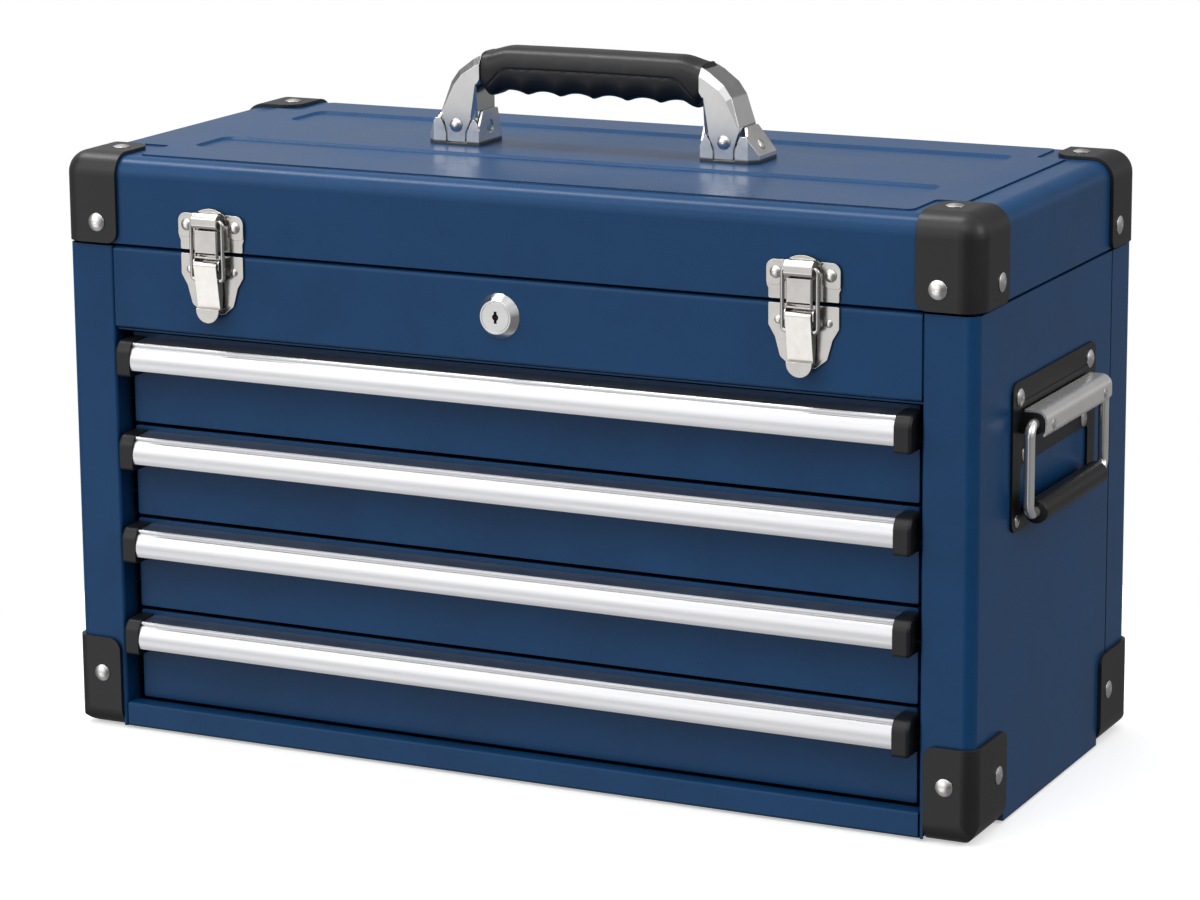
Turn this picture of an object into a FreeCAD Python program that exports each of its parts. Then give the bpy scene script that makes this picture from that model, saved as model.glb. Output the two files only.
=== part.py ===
import FreeCAD, Part
import math
import os

# Portable steel tool box: a lift-up lid over a top compartment, four drawers below.
# Working coordinates: X across (0 at the middle), Y from the front plane (0) to the back,
# Z up from the bottom edge of the panels. The final move puts the origin at the centre
# of the footprint, on the plane of the feet.

V = FreeCAD.Vector

# ---------------------------------------------------------------- driving dimensions (mm)
HALF_W = 260.0        # half of the cabinet's width
DEPTH = 230.0         # cabinet, front to back
CAB_H = 266.8         # top edge of the cabinet
LID_Z = 268.3         # lower edge of the lid
LID_TOP = 314.6       # lid top at its border
PLATEAU = 0.8         # the middle of the lid stands this much higher
LID_R = 10.0          # rounding of the lid's edges
T = 1.0               # steel sheet
POST_IN = 231.7       # inner edge of the front posts
POST_RET = 14.0       # depth of the posts' inner return
HEADER_Z = 222.6      # lower edge of the header
RAIL_Z = 13.5         # top of the bottom rail
FOOT = 1.5            # the lower corner caps stand this far below the panels
SIDE_END = 197.0      # side panel ends here, the back panel's return begins

DR_PITCH = 51.5       # drawer spacing
DR_Z0 = 14.9          # lowest drawer's lower edge
DR_H = 49.4           # drawer front height
DR_FRONT = 9.9        # drawer front lies this far behind the posts
DR_HW = 226.8         # half width of a drawer front
TRAY_HW = 217.5       # half width of a drawer tray
TRAY_BACK = 206.0     # back of a drawer tray
TRAY_H = 38.0         # height of a drawer's sides
PULL_HW = 219.3       # half length of the aluminium pull
PULL_Y = -6.2         # front of the pull

LATCH_X = 169.3       # latch centres
LOCK_Z = 247.0
HAND_Y = 118.5        # plane of the top handle
HAND_PIN_Z = 324.6
FOOT_X = 80.2         # middle of a handle foot
SH_Y = 109.0          # middle of the side handles
SH_X = 268.0          # axis of a side handle's bail
SH_Z = 203.0
HINGE_Y = DEPTH + 3.2
HINGE_Z = 267.6

CAP_T = 2.0

# the object's box in working coordinates gives the origin
FRONT_MOST = -9.1
BACK_MOST = 236.0
ORIGIN = V(0, (FRONT_MOST + BACK_MOST) / 2.0, -FOOT)

nodes = {}


# ---------------------------------------------------------------- helpers
def box(x0, x1, y0, y1, z0, z1):
    return Part.makeBox(x1 - x0, y1 - y0, z1 - z0, V(x0, y0, z0))


def cyl(r, p, d, h):
    return Part.makeCylinder(r, h, V(*p), V(*d))


def rounded(pts, radii):
    """Closed flat wire through 2-D points with a radius at each."""
    n = len(pts)
    if isinstance(radii, (int, float)):
        radii = [radii] * n
    p = [V(a, b, 0) for a, b in pts]
    ins, outs, mids = [], [], []
    for i in range(n):
        a, b, c = p[i - 1], p[i], p[(i + 1) % n]
        u = (a - b)
        w = (c - b)
        lu, lw = u.Length, w.Length
        u.normalize()
        w.normalize()
        ang = u.getAngle(w)
        r = radii[i]
        if r < 1e-6 or ang > math.pi - 1e-4:
            ins.append(b); outs.append(b); mids.append(None)
            continue
        d = r / math.tan(ang / 2.0)
        d = min(d, 0.4999 * lu, 0.4999 * lw)
        r = d * math.tan(ang / 2.0)
        bis = (u + w)
        bis.normalize()
        cen = b + bis * (r / math.sin(ang / 2.0))
        ins.append(b + u * d)
        outs.append(b + w * d)
        mids.append(cen - bis * r)
    edges = []
    for i in range(n):
        if mids[i] is not None:
            edges.append(Part.Arc(ins[i], mids[i], outs[i]).toShape())
        j = (i + 1) % n
        if (outs[i] - ins[j]).Length > 1e-5:
            edges.append(Part.makeLine(outs[i], ins[j]))
    return Part.Wire(edges)


def place(shape, plane, at):
    """Moves a shape from the flat XY plane into plane 'xy', 'xz' or 'yz' at the given offset."""
    if plane == "xy":
        m = FreeCAD.Matrix(1, 0, 0, 0, 0, 1, 0, 0, 0, 0, 1, at, 0, 0, 0, 1)
    elif plane == "xz":
        # (u, v, w) -> (u, -w, v): extrusion along +w runs to -Y
        m = FreeCAD.Matrix(1, 0, 0, 0, 0, 0, -1, at, 0, 1, 0, 0, 0, 0, 0, 1)
    else:
        # (u, v, w) -> (w, u, v)
        m = FreeCAD.Matrix(0, 0, 1, at, 1, 0, 0, 0, 0, 1, 0, 0, 0, 0, 0, 1)
    s = shape.copy()
    s.transformShape(m, True)
    return s


def prism(plane, pts, radii, a0, a1):
    """Rounded polygon in a plane, extruded between two offsets along its normal axis."""
    w = rounded(pts, radii)
    f = Part.Face(w)
    h = abs(a1 - a0)
    s = f.extrude(V(0, 0, h))
    if plane == "xz":
        s = place(s, plane, max(a0, a1))
    else:
        s = place(s, plane, min(a0, a1))
    if s.Volume < 0:
        s.reverse()
    return s


def strip(plane, pts, side, t, r, a0, a1):
    """Bent sheet: an open path of outer points, thickened by t to its left (+1) or right (-1)."""
    n = len(pts)
    if isinstance(r, (int, float)):
        r = [r] * n
    dirs = []
    for i in range(n - 1):
        dx, dy = pts[i + 1][0] - pts[i][0], pts[i + 1][1] - pts[i][1]
        l = math.hypot(dx, dy)
        dirs.append((dx / l, dy / l))
    off = []
    rad_a, rad_b = [], []
    for i in range(n):
        if i == 0 or i == n - 1:
            d = dirs[0] if i == 0 else dirs[-1]
            off.append((pts[i][0] - side * t * d[1], pts[i][1] + side * t * d[0]))
            rad_a.append(0)
            rad_b.append(0)
            continue
        d0, d1 = dirs[i - 1], dirs[i]
        n0 = (-side * d0[1], side * d0[0])
        n1 = (-side * d1[1], side * d1[0])
        bx, by = n0[0] + n1[0], n0[1] + n1[1]
        k = t * 2.0 / (bx * bx + by * by)
        off.append((pts[i][0] + bx * k, pts[i][1] + by * k))
        turn = d0[0] * d1[1] - d0[1] * d1[0]
        if turn * side > 0:
            rad_a.append(r[i])
            rad_b.append(max(r[i] - t, 0))
        else:
            rad_a.append(max(r[i] - t, 0))
            rad_b.append(r[i])
    poly = list(pts) + off[::-1]
    rad = rad_a + rad_b[::-1]
    return prism(plane, poly, rad, a0, a1)


def mirror_x(s):
    m = s.mirror(V(0, 0, 0), V(1, 0, 0))
    return m


def mirror_y(s, y):
    return s.mirror(V(0, y, 0), V(0, 1, 0))


def fuse(first, *rest):
    s = first
    for r in rest:
        s = s.fuse(r)
    return s.removeSplitter()


def cut(first, *rest):
    s = first
    for r in rest:
        s = s.cut(r)
    return s


def solids(shape):
    out = list(shape.Solids)
    return out


def group(*shapes):
    """Separate solids that share one node."""
    out = []
    for s in shapes:
        out += solids(s)
    return Part.makeCompound(out)


def dome(r, h, p, d):
    """Domed head on a plane through p, standing along d: a short rim under a spherical cap."""
    rim = 0.22 * h
    c = h - rim
    big = (r * r + c * c) / (2.0 * c)
    cap = Part.makeSphere(big, V(0, 0, h - big)).common(Part.makeCylinder(r, c, V(0, 0, rim)))
    s = Part.makeCylinder(r, rim, V(0, 0, 0)).fuse(cap).removeSplitter()
    s.Placement = FreeCAD.Placement(V(*p), FreeCAD.Rotation(V(0, 0, 1), V(*d)))
    return s


rivet_jobs = []   # (group name, body, solid, shank)


def rivet(name, body, p, d, r, h, rs, length, tail=True):
    """Rivet: domed head at p, shank going in against d through the sheets, small set tail."""
    back = (-d[0], -d[1], -d[2])
    shank = cyl(rs, p, back, length)
    s = dome(r, h, p, d).fuse(shank)
    if tail:
        e = (p[0] + back[0] * length, p[1] + back[1] * length, p[2] + back[2] * length)
        s = s.fuse(cyl(rs + 0.9, e, back, 0.8))
    s = s.removeSplitter()
    rivet_jobs.append((name, body, s, shank))


body_of = {}


def add(name, body, shape):
    nodes[name] = shape
    body_of[name] = body


# ---------------------------------------------------------------- cabinet shell
post = strip("xy", [(POST_IN, POST_RET), (POST_IN, 0), (HALF_W, 0), (HALF_W, SIDE_END)],
             1, T, [0, 1.6, 6.0, 0], 0, CAB_H)
side = cut(post, box(POST_IN - 1, POST_IN + T + 1, 1.0, POST_RET + 1, 221.0, CAB_H + 1))
lap = box(HALF_W - 2 * T, HALF_W - T, 188.0, 213.0, 15.0, 264.0)
side_top = box(250.5, HALF_W - 0.6, 8.0, SIDE_END - 1.0, CAB_H - T, CAB_H)
side_r = fuse(side, lap, side_top)
add("side_panel_right", "cabinet", side_r)
add("side_panel_left", "cabinet", mirror_x(side_r))

back = strip("xy", [(HALF_W, SIDE_END + 1.2), (HALF_W, DEPTH), (-HALF_W, DEPTH), (-HALF_W, SIDE_END + 1.2)],
             1, T, [0, 6.0, 6.0, 0], 0, CAB_H)
back_top = box(-251, 251, DEPTH - 9.0, DEPTH - 0.5, CAB_H - T, CAB_H)
add("back_panel", "cabinet", fuse(back, back_top))

# base pan with its front lip, which shows as the bottom rail
pan_x = HALF_W - T - 0.05
pan = prism("xy", [(-pan_x, 1.1), (pan_x, 1.1), (pan_x, DEPTH - 1.1), (-pan_x, DEPTH - 1.1)], [1.5, 1.5, 7.0, 7.0], 0, T)
pan_in = prism("xy", [(-pan_x, 20), (pan_x, 20), (pan_x, DEPTH - 1.1), (-pan_x, DEPTH - 1.1)], [0.1, 0.1, 7.0, 7.0], 0, 12.0)
pan_hole = prism("xy", [(-pan_x + T, 10), (pan_x - T, 10), (pan_x - T, DEPTH - 1.1 - T), (-pan_x + T, DEPTH - 1.1 - T)], [0.1, 0.1, 6.0, 6.0], T, 13.0)
pan = fuse(pan, cut(pan_in, pan_hole))
pan = cut(pan, box(POST_IN - 0.3, 262, 0, POST_RET + 0.4, -1, 20), box(-262, -POST_IN + 0.3, 0, POST_RET + 0.4, -1, 20))
lip = strip("yz", [(9.0, RAIL_Z), (0, RAIL_Z), (0, 0), (9.0, 0)], 1, T, [0, 1.6, 1.6, 0], -POST_IN + 0.4, POST_IN - 0.4)
add("base_pan", "cabinet", fuse(pan, lip))

# header rail between the posts, with a hole for the lock and tabs behind the posts
header = strip("yz", [(15.0, CAB_H), (0, CAB_H), (0, HEADER_Z), (12.0, HEADER_Z)], 1, T, [0, 2.5, 1.8, 0], -POST_IN + 0.35, POST_IN - 0.35)
tab = box(228.0, 245.0, T, 2 * T, HEADER_Z + 3, CAB_H - 4)
header = fuse(header, tab, mirror_x(tab))
header = cut(header, cyl(9.5, (0, -1, LOCK_Z), (0, 1, 0), 5))
add("header_rail", "cabinet", header)

# floor of the top compartment, a shallow pan
fx = HALF_W - 2 * T - 0.2
floor_z = 221.2
fl = prism("xy", [(-fx, 2.2), (fx, 2.2), (fx, DEPTH - T - 0.1), (-fx, DEPTH - T - 0.1)], [6.5, 6.5, 7.0, 7.0], floor_z, floor_z + T)
fl2 = prism("xy", [(-fx, 20), (fx, 20), (fx, DEPTH - T - 0.1), (-fx, DEPTH - T - 0.1)], [0.1, 0.1, 7.0, 7.0], floor_z, floor_z + 10)
fl3 = prism("xy", [(-fx + T, 10), (fx - T, 10), (fx - T, DEPTH - 2 * T - 0.1), (-fx + T, DEPTH - 2 * T - 0.1)], [0.1, 0.1, 6.0, 6.0], floor_z + T, floor_z + 11)
add("compartment_floor", "cabinet", fuse(fl, cut(fl2, fl3)))

# inner side walls that carry the drawer runners
frame = strip("xy", [(257.6, 30.0), (257.6, 16.0), (235.6, 16.0), (235.6, 221.0), (257.6, 221.0), (257.6, 212.0)],
              -1, T, [0, 1.5, 1.5, 1.5, 1.5, 0], T + 0.05, floor_z - 0.05)
add("runner_frames", "cabinet", group(frame, mirror_x(frame)))

dr_z = [DR_Z0 + DR_PITCH * (3 - i) for i in range(4)]      # drawer 1 is the top one
RUN_Z = 20.0                                               # runner's middle above the drawer's lower edge

runs = []
for z in dr_z:
    zc = z + RUN_Z
    c = strip("xz", [(225.6, zc - 10), (235.6, zc - 10), (235.6, zc + 10), (225.6, zc + 10)], 1, T, [0, 1.2, 1.2, 0], 18.0, 218.0)
    runs += [c, mirror_x(c)]
add("cabinet_runners", "cabinet", group(*runs))


# ---------------------------------------------------------------- lid
def lid_block(o):
    """Outer form of the lid, grown by o."""
    s = box(-HALF_W - o, HALF_W + o, -o, DEPTH + o, 240.0, LID_TOP + o)
    sel = []
    for e in s.Edges:
        a, b = e.Vertexes[0].Point, e.Vertexes[-1].Point
        if abs(a.z - b.z) > 1 or (a.z > 300 and b.z > 300):
            sel.append(e)
    return s.makeFillet(LID_R + o, sel)


outer = lid_block(0.0)
inner = lid_block(-T)
shell = outer.cut(inner).cut(box(-300, 300, -20, 260, 200, LID_Z))
SEAM = 237.0
skin = shell.common(box(-SEAM, SEAM, -5, 240, 200, 400))
end = shell.common(box(SEAM + 0.5, 300, -5, 240, 200, 400))

# raised middle of the lid, notched at its corners to pass the caps
NX, NY = 221.0, 44.0
PY0, PY1 = 12.2, 217.8
plate_pts = [(-NX, PY0), (NX, PY0), (NX, NY), (SEAM, NY), (SEAM, DEPTH - NY), (NX, DEPTH - NY), (NX, PY1), (-NX, PY1),
             (-NX, DEPTH - NY), (-SEAM, DEPTH - NY), (-SEAM, NY), (-NX, NY)]
ins = [(-NX + T, PY0 + T), (NX - T, PY0 + T), (NX - T, NY + T), (SEAM + 1, NY + T), (SEAM + 1, DEPTH - NY - T), (NX - T, DEPTH - NY - T),
       (NX - T, PY1 - T), (-NX + T, PY1 - T), (-NX + T, DEPTH - NY - T), (-SEAM - 1, DEPTH - NY - T), (-SEAM - 1, NY + T), (-NX + T, NY + T)]
rr = [4, 4, 3, 0, 0, 3, 4, 4, 3, 0, 0, 3]
raised = prism("xy", plate_pts, rr, LID_TOP - 0.5, LID_TOP + PLATEAU)
under = prism("xy", ins, rr, LID_TOP - T - 1, LID_TOP + PLATEAU - T)
skin = skin.fuse(raised).cut(under)


def tapered(x0, x1, y0, y1, r, grow, z0, z1):
    """Solid between a rounded rectangle at z0 and one grown by 'grow' at z1."""
    w0 = place(rounded([(x0, y0), (x1, y0), (x1, y1), (x0, y1)], r), "xy", z0)
    w1 = place(rounded([(x0 - grow, y0 - grow), (x1 + grow, y0 - grow), (x1 + grow, y1 + grow), (x0 - grow, y1 + grow)], r + grow), "xy", z1)
    return Part.makeLoft([w0, w1], True, True)


# two long channels pressed into the lid; the handle stands on the flat between them
CH_D = 1.3
ztop = LID_TOP + PLATEAU
channels = [(47.0, 84.5), (149.5, 188.0)]
for (y0, y1) in channels:
    # the pressed form under the channel, then the channel itself
    low = tapered(-209.0, 209.0, y0 + 1.0, y1 - 1.0, 6.0, 2.0, ztop - CH_D - T, ztop - T + 0.001)
    skin = skin.fuse(low)
for (y0, y1) in channels:
    skin = skin.cut(tapered(-208.0, 208.0, y0 + 2.0, y1 - 2.0, 5.0, 2.4, ztop - CH_D, ztop + 0.26))
skin = skin.removeSplitter()
add("lid_skin", "lid", skin)
add("lid_end_right", "lid", end)
add("lid_end_left", "lid", mirror_x(end))

# upper corner caps
CAP_X, CAP_Y = 228.0, 38.0
cap_out = lid_block(CAP_T)
cap_in = lid_block(0.05)
cs = cap_out.cut(cap_in)
cs = cs.common(prism("xy", [(CAP_X, -5), (270, -5), (270, CAP_Y), (CAP_X, CAP_Y)], [0, 0, 0, 11], LID_Z, 330))
cs = cs.common(prism("xz", [(CAP_X, LID_Z), (270, LID_Z), (270, 330), (CAP_X, 330)], [6, 0, 0, 0], -10, 60))
cs = cs.common(prism("yz", [(-10, LID_Z), (CAP_Y, LID_Z), (CAP_Y, 330), (-10, 330)], [0, 5, 0, 0], 200, 280))
cap_fr = cs
cap_upper = [cap_fr, mirror_x(cap_fr), mirror_y(cap_fr, DEPTH / 2), mirror_x(mirror_y(cap_fr, DEPTH / 2))]
add("corner_caps_upper", "lid", group(*cap_upper))

for sx in (1, -1):
    for back_side in (0, 1):
        yy = (lambda v: v) if not back_side else (lambda v: DEPTH - v)
        dy = 1 if back_side else -1
        rivet("corner_rivets_upper", "lid", (sx * 240.0, yy(-CAP_T), 279.4), (0, dy, 0), 4.9, 2.0, 2.0, 3.06)
        rivet("corner_rivets_upper", "lid", (sx * (HALF_W + CAP_T), yy(27.5), 279.8), (sx, 0, 0), 4.9, 1.6, 2.0, 3.06)
        rivet("corner_rivets_upper", "lid", (sx * 238.8, yy(23.0), LID_TOP + CAP_T), (0, 0, 1), 4.6, 1.3, 2.0, 3.06)


# ---------------------------------------------------------------- lower corner caps
def foot_block(o, zb, r_low):
    """Lower part of the box, grown by o, its underside at zb rounded up all round with r_low."""
    s = box(-HALF_W - o, HALF_W + o, -o, DEPTH + o, zb, 100.0)
    vert = []
    for e in s.Edges:
        a, b = e.Vertexes[0].Point, e.Vertexes[-1].Point
        if abs(a.z - b.z) > 1:
            vert.append(e)
    s = s.makeFillet(6.0 + o, vert)
    s = s.common(prism("xz", [(-HALF_W - o, zb), (HALF_W + o, zb), (HALF_W + o, 101), (-HALF_W - o, 101)], [r_low, r_low, 0, 0], -30, 260))
    return s.common(prism("yz", [(-o, zb), (DEPTH + o, zb), (DEPTH + o, 101), (-o, 101)], [r_low, r_low, 0, 0], -300, 300))


LOW_R = 12.0
fo = foot_block(CAP_T, -FOOT, LOW_R)
fi = foot_block(0.05, -0.05, LOW_R - 1.8)
fs = fo.cut(fi)
fs = fs.common(prism("xy", [(234.2, -5), (270, -5), (270, 43), (234.2, 43)], [0, 0, 0, 9], -5, 49.0))
fs = fs.common(prism("xz", [(234.2, -5), (270, -5), (270, 49.0), (234.2, 49.0)], [0, 0, 0, 7], -10, 60))
fs = fs.common(prism("yz", [(-10, -5), (43, -5), (43, 49.0), (-10, 49.0)], [0, 0, 6, 0], 200, 280))
# under the caps the sheets' corners are trimmed to the caps' inner form
keep = foot_block(0.0, 0.0, LOW_R - 1.8)
zone = box(233.9, 270, -5, 44.0, -5, 20)
zones = [zone, mirror_x(zone), mirror_y(zone, DEPTH / 2), mirror_x(mirror_y(zone, DEPTH / 2))]
trims = [z_.cut(keep) for z_ in zones]
for n in ("side_panel_left", "side_panel_right", "back_panel", "base_pan", "runner_frames"):
    out = []
    for q in nodes[n].Solids:
        for t_ in trims:
            if q.BoundBox.intersect(t_.BoundBox):
                q = q.cut(t_)
        out.append(q.removeSplitter())
    nodes[n] = group(*out) if len(out) > 1 else out[0].Solids[0]
cap_lower = [fs, mirror_x(fs), mirror_y(fs, DEPTH / 2), mirror_x(mirror_y(fs, DEPTH / 2))]
add("corner_caps_lower", "cabinet", group(*cap_lower))
for sx in (1, -1):
    for back_side in (0, 1):
        yy = (lambda v: v) if not back_side else (lambda v: DEPTH - v)
        dy = 1 if back_side else -1
        rivet("corner_rivets_lower", "cabinet", (sx * 245.8, yy(-CAP_T), 29.0), (0, dy, 0), 4.6, 1.9, 2.0, 3.06)
        rivet("corner_rivets_lower", "cabinet", (sx * (HALF_W + CAP_T), yy(31.5), 28.0), (sx, 0, 0), 4.7, 1.6, 2.0, 3.06 if not back_side else 4.06)


# ---------------------------------------------------------------- rear hinge, a long knuckled hinge outside
KN_R, KN_BORE, PIN_R = 2.8, 1.60, 1.55
HX0, HX1, NKN = -216.0, 216.0, 16
pitch = (HX1 - HX0) / NKN
low_parts, up_parts = [], []
for i in range(NKN):
    a, b = HX0 + i * pitch + 0.2, HX0 + (i + 1) * pitch - 0.2
    k = cyl(KN_R, (a, HINGE_Y, HINGE_Z), (1, 0, 0), b - a)
    if i % 2 == 0:
        k = k.fuse(box(a, b, DEPTH, HINGE_Y, HINGE_Z - 2.7, HINGE_Z - 1.6)).fuse(box(a, b, DEPTH, DEPTH + 1.0, HINGE_Z - 6.0, HINGE_Z - 1.6))
        low_parts.append(k)
    else:
        k = k.fuse(box(a, b, DEPTH, HINGE_Y, HINGE_Z + 1.6, HINGE_Z + 2.7)).fuse(box(a, b, DEPTH, DEPTH + 1.0, HINGE_Z + 1.6, HINGE_Z + 6.0))
        up_parts.append(k)
bore = cyl(KN_BORE, (HX0 - 2, HINGE_Y, HINGE_Z), (1, 0, 0), HX1 - HX0 + 4)
leaf_lo = box(HX0, HX1, DEPTH, DEPTH + 1.0, HINGE_Z - 17.0, HINGE_Z - 4.0)
leaf_up = box(HX0, HX1, DEPTH, DEPTH + 1.0, HINGE_Z + 4.0, HINGE_Z + 17.0)
lo = leaf_lo
for k in low_parts:
    lo = lo.fuse(k)
up = leaf_up
for k in up_parts:
    up = up.fuse(k)
add("hinge_leaf_lower", "cabinet", lo.cut(bore).removeSplitter())
add("hinge_leaf_upper", "lid", up.cut(bore).removeSplitter())
pin = cyl(PIN_R, (HX0 - 0.5, HINGE_Y, HINGE_Z), (1, 0, 0), HX1 - HX0 + 1.0)
pin = pin.fuse(cyl(2.6, (HX0 - 1.4, HINGE_Y, HINGE_Z), (1, 0, 0), 0.9)).fuse(cyl(2.6, (HX1 + 0.5, HINGE_Y, HINGE_Z), (1, 0, 0), 0.9))
add("hinge_pin", "cabinet", pin.removeSplitter())
for i in range(8):
    x = HX0 + pitch * (2 * i + 1)
    rivet("fitting_rivets_cabinet", "cabinet", (x, DEPTH + 1.0, HINGE_Z - 11.5), (0, 1, 0), 2.6, 1.0, 1.3, 2.06)
    rivet("fitting_rivets_lid", "lid", (x, DEPTH + 1.0, HINGE_Z + 11.5), (0, 1, 0), 2.6, 1.0, 1.3, 2.06)


# ---------------------------------------------------------------- draw latches (two)
PIN_LY, PIN_LZ = -5.3, 261.4      # lever pin
BAIL_Y, BAIL_Z = -5.7, 285.3      # bar of the wire bail, in the rolled seat of the catch
END_Z = 254.0                     # lower, bent-in ends of the bail
WR = 1.15

catch_pts = [(-19.8, 288.4), (-19.8, 275.5), (-18.9, 273.5), (-18.9, 268.7), (18.9, 268.7), (18.9, 273.5), (19.8, 275.5), (19.8, 288.4)]
catch = prism("xz", catch_pts, [4.5, 1.5, 1.5, 0.8, 0.8, 1.5, 1.5, 4.5], -1.2, 0)
lobe = prism("xz", [(9.4, 288.4), (9.4, 277.4), (14.0, 275.6), (19.8, 275.6), (19.8, 288.4)], [3.0, 3.0, 3.0, 1.6, 4.5], -1.8, 0)
hump = cyl(15.25, (0, -2.6, 276.15), (0, 1, 0), 2.6).common(box(-9.6, 9.6, -3, 0, 284.0, 292.0))
flap = prism("yz", [(-0.6, 289.6), (-6.6, 289.6), (-9.1, 287.2), (-9.1, 283.2), (-8.2, 281.6), (-4.2, 281.6), (-3.0, 286.2), (-0.6, 287.2)],
             [0, 1.8, 1.8, 1.4, 0.8, 1.2, 1.2, 0], -7.6, 7.6)
blk = strip("xy", [(-7.1, 0), (-7.1, -7.6), (7.1, -7.6), (7.1, 0)], 1, 1.1, [0, 1.0, 1.0, 0], 265.7, 280.4)
slot = box(-6.0, 6.0, -9, -1.2, 266.5, 268.5)
clear_low = box(-9, 9, -5.9, 1, 265.0, 268.69)
catch = catch.fuse(lobe).fuse(mirror_x(lobe)).fuse(hump).fuse(flap).fuse(blk.cut(slot).cut(clear_low))
catch = catch.cut(cyl(WR + 0.05, (-9, BAIL_Y, BAIL_Z), (1, 0, 0), 18)).removeSplitter()

low_pts = [(-18.9, 266.5), (-18.9, 255.4), (-15.4, 249.6), (-12.6, 239.6), (-6.5, 234.9), (6.5, 234.9), (12.6, 239.6), (15.4, 249.6), (18.9, 255.4), (18.9, 266.5)]
lplate = prism("xz", low_pts, [0.8, 2.0, 3.0, 3.0, 4.0, 4.0, 3.0, 3.0, 2.0, 0.8], -1.2, 0)
ear = prism("yz", [(-0.6, 257.3), (-0.6, 265.3), (-7.6, 265.3), (-7.6, 258.2)], [0, 1.0, 2.2, 3.0], 7.1, 7.9)
lbase = lplate.fuse(ear).fuse(mirror_x(ear))
lbase = lbase.cut(cyl(1.1, (-10, PIN_LY, PIN_LZ), (1, 0, 0), 20)).removeSplitter()
lpin = fuse(cyl(1.1, (-7.95, PIN_LY, PIN_LZ), (1, 0, 0), 15.9))

# lever: a channel whose face slopes in towards its thumb tab
LV = 6.9
lev_out = prism("yz", [(-9.3, 263.8), (-5.2, 237.6), (-3.4, 237.6), (-1.9, 247.0), (-1.9, 263.8)], [2.0, 0.6, 0.5, 1.0, 2.0], -LV, LV)
lev_in = prism("yz", [(-8.25, 266.0), (-3.75, 235.0), (-1.0, 235.0), (-1.0, 266.0)], 0, -LV + 0.9, LV - 0.9)
lev = lev_out.cut(lev_in.common(box(-LV + 0.9, LV - 0.9, -12, 0, 236, 262.9)))
tab1 = cyl(LV, (0, -7.3, 237.9), (0, 1, 0), 1.3)
tab2 = box(-6.6, 6.6, -7.3, -4.3, 236.9, 238.5)
lev = lev.fuse(tab1.cut(box(-8, 8, -9, -3, 238.5, 246))).fuse(tab2)
# open notches that the bail's ends sit in, open towards the panel
NR = WR + 0.35
notch = cyl(NR, (-8, BAIL_Y, END_Z), (1, 0, 0), 16).fuse(
    prism("yz", [(BAIL_Y, END_Z - NR), (0, END_Z - NR), (0, END_Z + NR + 2.4), (BAIL_Y, END_Z + NR)], 0, -8, 8))
lev = lev.cut(notch.common(box(-8, -5.0, -12, 0, 240, 270))).cut(notch.common(box(5.0, 8, -12, 0, 240, 270)))
lev = lev.cut(cyl(1.15, (-10, PIN_LY, PIN_LZ), (1, 0, 0), 20)).removeSplitter()


def wire(pts, r, bend):
    """Round wire along a polyline with bend radii."""
    p = [V(*q) for q in pts]
    edges = []
    start = p[0]
    for i in range(1, len(p) - 1):
        u = (p[i - 1] - p[i]); w = (p[i + 1] - p[i])
        u.normalize(); w.normalize()
        ang = u.getAngle(w)
        d = bend / math.tan(ang / 2)
        bis = u + w
        bis.normalize()
        cen = p[i] + bis * (bend / math.sin(ang / 2))
        a, b, m = p[i] + u * d, p[i] + w * d, cen - bis * bend
        edges.append(Part.makeLine(start, a))
        edges.append(Part.Arc(a, m, b).toShape())
        start = b
    edges.append(Part.makeLine(start, p[-1]))
    path = Part.Wire(edges)
    t = p[1] - p[0]
    t.normalize()
    prof = Part.Wire([Part.makeCircle(r, p[0], t)])
    s = path.makePipeShell([prof], True, True)
    if s.Volume < 0:
        s.reverse()
    return s


BX = 9.45
lbail = wire([(-5.95, BAIL_Y, END_Z), (-BX, BAIL_Y, END_Z), (-BX, BAIL_Y, BAIL_Z), (BX, BAIL_Y, BAIL_Z), (BX, BAIL_Y, END_Z), (5.95, BAIL_Y, END_Z)], WR, 2.0)


def at_x(s, x):
    q = s.copy()
    q.translate(V(x, 0, 0))
    return q


add("latch_catches", "lid", group(at_x(catch, -LATCH_X), at_x(catch, LATCH_X)))
add("latch_base_plates", "cabinet", group(at_x(lbase, -LATCH_X), at_x(lbase, LATCH_X)))
add("latch_lever_pins", "cabinet", group(at_x(lpin, -LATCH_X), at_x(lpin, LATCH_X)))
add("latch_lever_left", "latch_lever_left", at_x(lev, -LATCH_X))
add("latch_lever_right", "latch_lever_right", at_x(lev, LATCH_X))
add("latch_bail_left", "latch_bail_left", at_x(lbail, -LATCH_X))
add("latch_bail_right", "latch_bail_right", at_x(lbail, LATCH_X))
for lx in (-LATCH_X, LATCH_X):
    for dx in (-14.6, 14.6):
        rivet("fitting_rivets_lid", "lid", (lx + dx, -1.8, 282.0), (0, -1, 0), 3.15, 1.6, 1.5, 2.86)
        rivet("fitting_rivets_cabinet", "cabinet", (lx + dx * 0.92, -1.2, 258.0), (0, -1, 0), 2.1, 0.9, 1.2, 2.26)
    rivet("fitting_rivets_cabinet", "cabinet", (lx, -1.2, 243.0), (0, -1, 0), 1.7, 0.6, 1.2, 2.26)

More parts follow.
